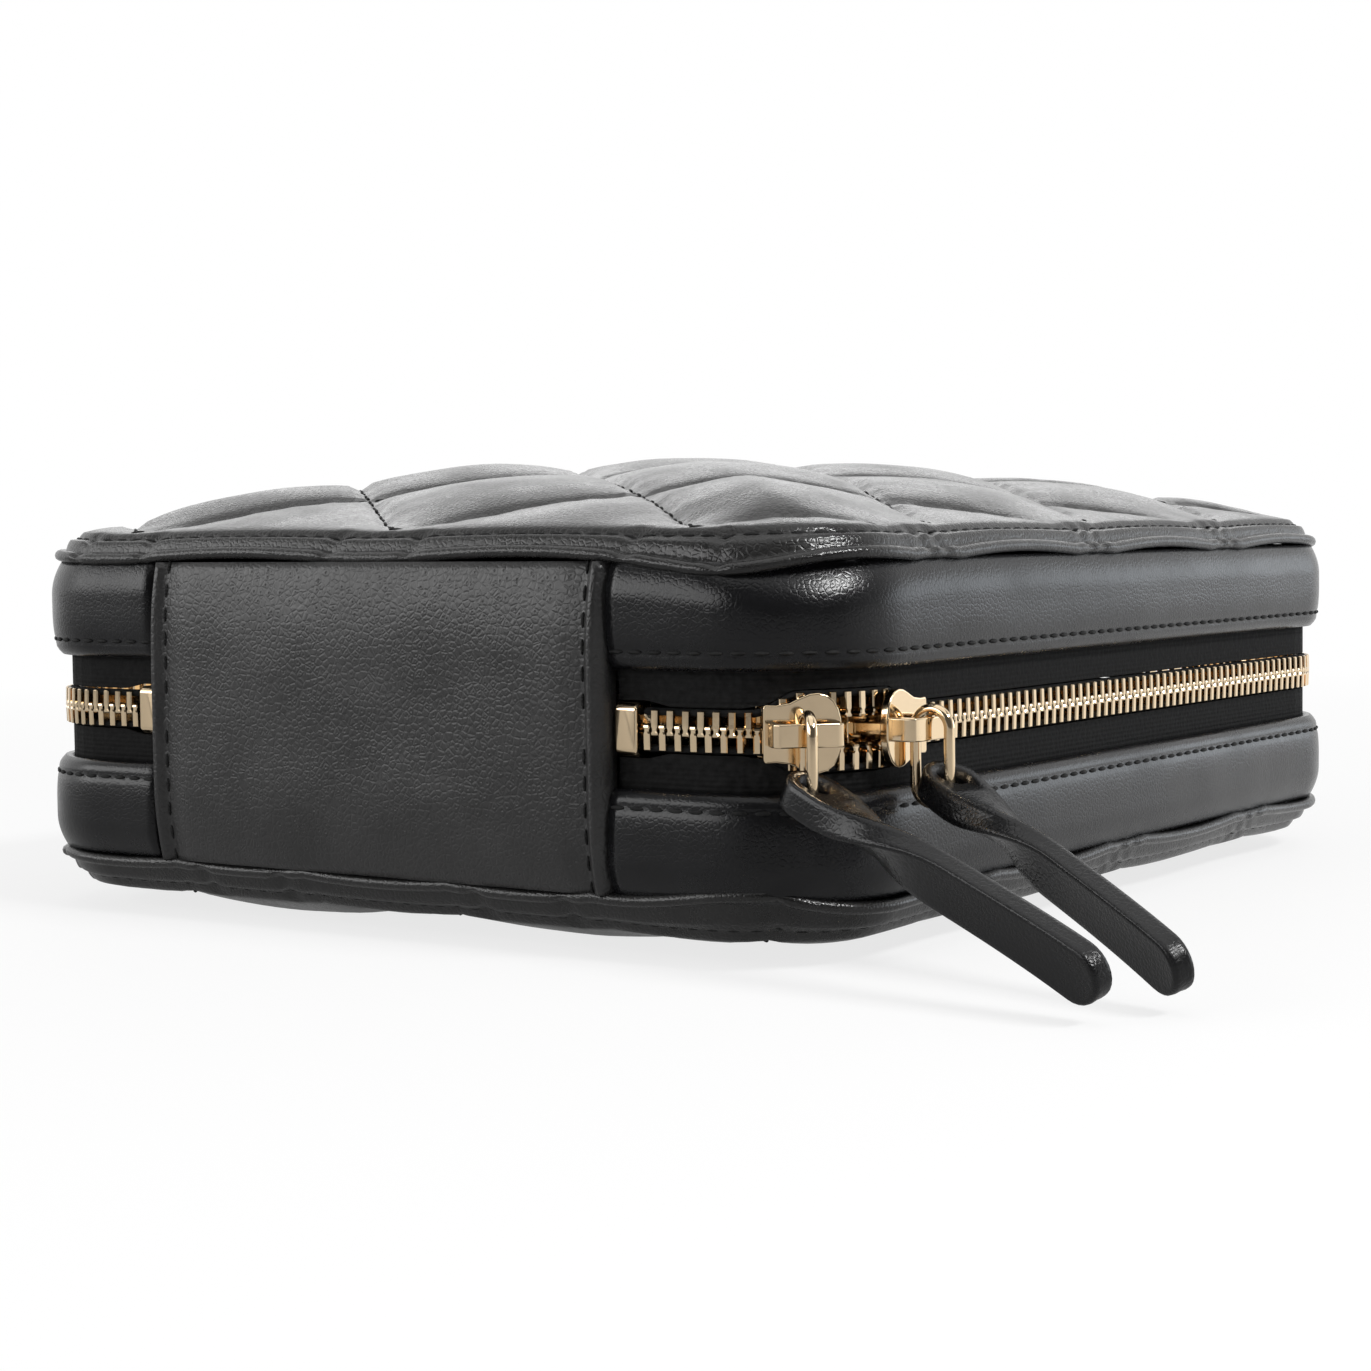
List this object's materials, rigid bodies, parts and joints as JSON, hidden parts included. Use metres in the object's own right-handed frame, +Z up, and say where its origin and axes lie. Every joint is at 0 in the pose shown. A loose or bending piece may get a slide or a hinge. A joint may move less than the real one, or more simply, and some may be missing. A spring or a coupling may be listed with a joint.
{
  "type": "leather jewellery case",
  "caption": "Zip-around leather jewellery case with diamond-quilted padded covers, a folding back panel, head-to-head sliders with leather pulls, and a lined tray with ring rolls inside.",
  "frame": {"origin": "middle of the case's footprint, on the surface it stands on", "axes": "+Z up; X along the back panel, -X on the side the pulls lie on; +Y towards the back panel, where the lid folds"},
  "size_m": [0.162, 0.157, 0.0556],
  "materials": {
    "black_leather": "semi-gloss black leather",
    "grained_leather": "fine pebble grain, satin",
    "woven_tape": "woven, matte",
    "pale_gold_metal": "polished pale gold",
    "board": "stiff fibre board, hidden",
    "suede_lining": "charcoal suede cloth"
  },
  "bodies": {
    "base": {"base_quilted_cover": "black_leather", "base_board": "board", "base_wall_band": "black_leather", "lower_zip_tape": "woven_tape", "lower_zip_teeth": "pale_gold_metal", "zip_stop_a": "pale_gold_metal", "zip_stop_b": "pale_gold_metal", "spine_panel_lower": "grained_leather", "base_lining_tray": "suede_lining", "tray_divider_long": "suede_lining", "tray_divider_cross": "suede_lining", "ring_roll_1": "suede_lining", "ring_roll_2": "suede_lining", "ring_roll_3": "suede_lining", "ring_roll_4": "suede_lining"},
    "lid": {"lid_quilted_cover": "black_leather", "lid_board": "board", "lid_wall_band": "black_leather", "upper_zip_tape": "woven_tape", "upper_zip_teeth": "pale_gold_metal", "spine_panel_upper": "grained_leather", "lid_lining": "suede_lining", "lid_pocket": "suede_lining"},
    "slider_a": {"slider_a_body": "pale_gold_metal"},
    "ring_a": {"slider_a_ring": "pale_gold_metal"},
    "pull_a": {"slider_a_pull": "black_leather"},
    "slider_b": {"slider_b_body": "pale_gold_metal"},
    "ring_b": {"slider_b_ring": "pale_gold_metal"},
    "pull_b": {"slider_b_pull": "black_leather"}
  },
  "joints": [
    {"name": "lid_fold", "type": "hinge", "parent": "base", "child": "lid", "pos_m": [0, 0.07495, 0.025], "axis": [-1, 0, 0], "range_deg": [0, 115], "deforming": ["upper_zip_teeth", "upper_zip_tape"]},
    {"name": "slider_a_travel", "type": "hinge", "parent": "base", "child": "slider_a", "pos_m": [-0.0445, 0.057, 0.025], "axis": [0, 0, 1], "range_deg": [-24, 0], "deforming": ["lower_zip_teeth"]},
    {"name": "slider_b_travel", "type": "slide", "parent": "base", "child": "slider_b", "axis": [0, -1, 0], "range_m": [0, 0.085]},
    {"name": "ring_a_swing", "type": "hinge", "parent": "slider_a", "child": "ring_a", "pos_m": [-0.05807, 0.07155, 0.025], "axis": [0.7314, 0.682, 0], "range_deg": [0, 95]},
    {"name": "ring_b_swing", "type": "hinge", "parent": "slider_b", "child": "ring_b", "pos_m": [-0.0644, 0.057, 0.025], "axis": [0, 1, 0], "range_deg": [0, 95]},
    {"name": "pull_a_swivel", "type": "hinge", "parent": "ring_a", "child": "pull_a", "pos_m": [-0.05947, 0.07305, 0.01874], "axis": [-0.4159, 0.0808, 0.9058], "range_deg": [-45, 0]},
    {"name": "pull_b_swivel", "type": "hinge", "parent": "ring_b", "child": "pull_b", "pos_m": [-0.06645, 0.057, 0.01874], "axis": [-0.3871, 0.1723, 0.9058], "range_deg": [0, 45]}
  ]
}
